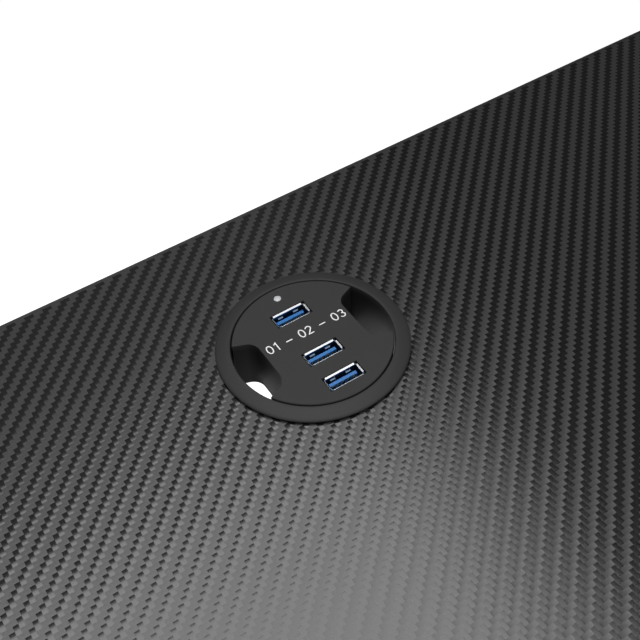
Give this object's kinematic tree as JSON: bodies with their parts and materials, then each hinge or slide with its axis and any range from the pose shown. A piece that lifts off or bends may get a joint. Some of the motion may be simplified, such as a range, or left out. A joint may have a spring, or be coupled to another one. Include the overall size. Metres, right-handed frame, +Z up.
{
  "type": "corner desk",
  "caption": "L-shaped corner desk with a black fibre-weave laminate top, a round flush port hub with cable notches, and a black steel tube frame on levelling feet.",
  "frame": {"origin": "on the floor, under the middle of the desk's bounding box", "axes": "+X runs to the right along the back edge, +Y points to the back edge, +Z is up; the return wing runs towards -Y at the +X end"},
  "size_m": [1.4, 1.2, 0.7533],
  "materials": {
    "laminate_board": "satin black laminate with a woven-fibre print, on fibreboard",
    "edge_band": "satin black edge band",
    "powder_coat": "fine-textured matt black powder coat on steel tube",
    "black_bolt": "black zinc-plated steel",
    "zinc_steel": "bright zinc-plated steel",
    "insert_plastic": "moulded black plastic",
    "pad_plastic": "moulded black plastic",
    "hub_plastic": "satin dark grey moulded plastic",
    "gland_rubber": "soft black moulding",
    "circuit_board": "green solder mask",
    "black_epoxy": "black component packages",
    "light_pipe": "milky clear plastic, unlit",
    "port_shell": "nickel-plated sheet steel",
    "port_tongue": "blue moulded plastic",
    "contact_gold": "gold-plated contacts"
  },
  "bodies": {
    "desk": {"main_board": "laminate_board", "return_board": "laminate_board", "main_band_back": "edge_band", "main_band_front": "edge_band", "main_band_left": "edge_band", "main_band_right": "edge_band", "return_band_front": "edge_band", "return_band_left": "edge_band", "return_band_right": "edge_band", "post_left_front": "powder_coat", "post_left_back": "powder_coat", "post_right_front": "powder_coat", "post_right_back": "powder_coat", "post_return_inner": "powder_coat", "post_return_outer": "powder_coat", "left_top_rail": "powder_coat", "left_low_rail": "powder_coat", "right_top_rail": "powder_coat", "right_low_rail": "powder_coat", "return_top_rail": "powder_coat", "return_low_rail": "powder_coat", "main_back_beam": "powder_coat", "main_front_beam": "powder_coat", "return_inner_beam": "powder_coat", "return_outer_beam": "powder_coat", "back_stretcher": "powder_coat", "return_stretcher": "powder_coat", "nut_blocks": "zinc_steel", "post_bolts": "black_bolt", "beam_bolts": "black_bolt", "fixing_tabs": "powder_coat", "joining_plates": "powder_coat", "board_screws": "black_bolt", "foot_inserts": "insert_plastic", "hub_ring": "hub_plastic", "hub_body": "hub_plastic", "hub_cover": "hub_plastic", "cable_gland": "gland_rubber", "cover_screws": "zinc_steel", "circuit_board": "circuit_board", "board_parts": "black_epoxy", "light_pipe": "light_pipe", "port_shell_1": "port_shell", "port_shell_2": "port_shell", "port_shell_3": "port_shell", "port_tongues": "port_tongue", "port_contacts": "contact_gold"},
    "foot_left_front": {"stud_left_front": "zinc_steel", "pad_left_front": "pad_plastic"},
    "foot_left_back": {"stud_left_back": "zinc_steel", "pad_left_back": "pad_plastic"},
    "foot_right_front": {"stud_right_front": "zinc_steel", "pad_right_front": "pad_plastic"},
    "foot_right_back": {"stud_right_back": "zinc_steel", "pad_right_back": "pad_plastic"},
    "foot_return_inner": {"stud_return_inner": "zinc_steel", "pad_return_inner": "pad_plastic"},
    "foot_return_outer": {"stud_return_outer": "zinc_steel", "pad_return_outer": "pad_plastic"}
  },
  "joints": [
    {"name": "level_left_front", "type": "slide", "parent": "desk", "child": "foot_left_front", "axis": [0, 0, 1], "range_m": [0, 0.009]},
    {"name": "level_left_back", "type": "slide", "parent": "desk", "child": "foot_left_back", "axis": [0, 0, 1], "range_m": [0, 0.009]},
    {"name": "level_right_front", "type": "slide", "parent": "desk", "child": "foot_right_front", "axis": [0, 0, 1], "range_m": [0, 0.009]},
    {"name": "level_right_back", "type": "slide", "parent": "desk", "child": "foot_right_back", "axis": [0, 0, 1], "range_m": [0, 0.009]},
    {"name": "level_return_inner", "type": "slide", "parent": "desk", "child": "foot_return_inner", "axis": [0, 0, 1], "range_m": [0, 0.009]},
    {"name": "level_return_outer", "type": "slide", "parent": "desk", "child": "foot_return_outer", "axis": [0, 0, 1], "range_m": [0, 0.009]}
  ]
}
